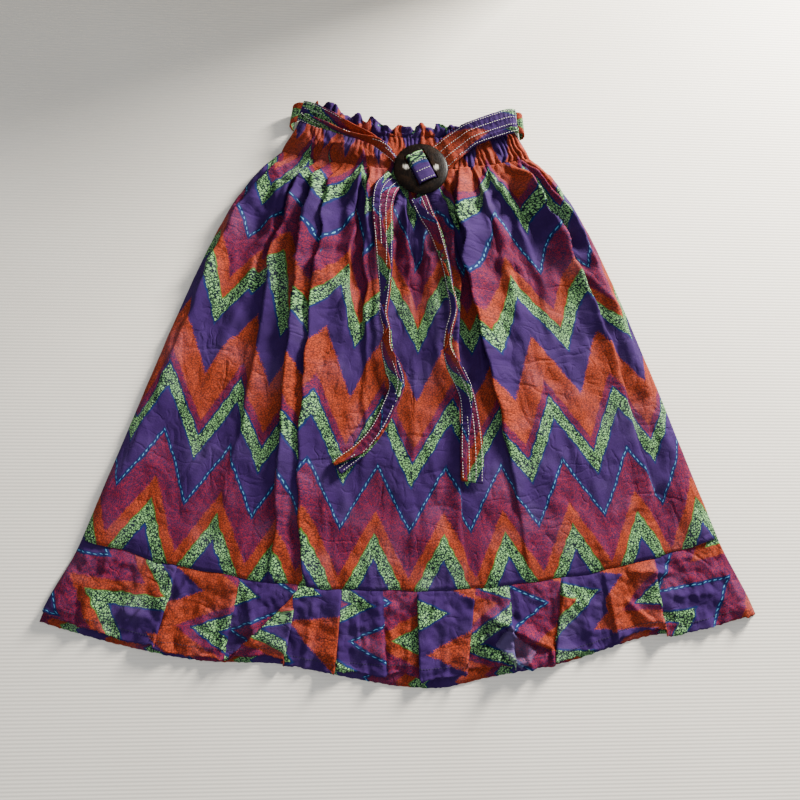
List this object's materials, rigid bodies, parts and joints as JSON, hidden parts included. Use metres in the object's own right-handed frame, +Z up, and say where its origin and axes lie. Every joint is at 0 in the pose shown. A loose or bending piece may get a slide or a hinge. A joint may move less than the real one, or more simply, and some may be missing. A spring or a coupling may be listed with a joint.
{
  "type": "gathered batik skirt, laid flat",
  "caption": "Gathered knee-length batik skirt laid flat, with ruched elastic waist, hem ruffle, stitched cloth belt and round coconut-shell buckle.",
  "frame": {"origin": "on the underside of the back panel, in the middle of the skirt's width and close to the middle of its length", "axes": "+Z up from the surface it lies on, +Y towards the waist, +X to the viewer's right of the buckled front"},
  "size_m": [0.7515, 0.6638, 0.0276],
  "materials": {
    "panel_cotton": "printed cotton with a slight sheen, zigzag bands in violet, orange, mulberry and mint",
    "waistband_cotton": "the same printed cotton, shirred over elastic",
    "ruffle_cotton": "the same printed cotton, cut across the print so that its zigzags point sideways",
    "belt_cotton": "the same printed cotton, doubled, with four rows of white topstitching",
    "buckle_shell": "polished dark coconut shell with a fine grain"
  },
  "bodies": {
    "root": {"front_panel": "panel_cotton", "back_panel": "panel_cotton", "waistband_front": "waistband_cotton", "waistband_back": "waistband_cotton", "ruffle_front": "ruffle_cotton", "ruffle_back": "ruffle_cotton", "belt_back": "belt_cotton", "belt_left": "belt_cotton", "belt_right": "belt_cotton", "belt_side_left": "belt_cotton", "belt_side_right": "belt_cotton", "belt_tail_left": "belt_cotton", "belt_tail_right": "belt_cotton", "belt_tab": "belt_cotton", "buckle": "buckle_shell"}
  },
  "joints": []
}
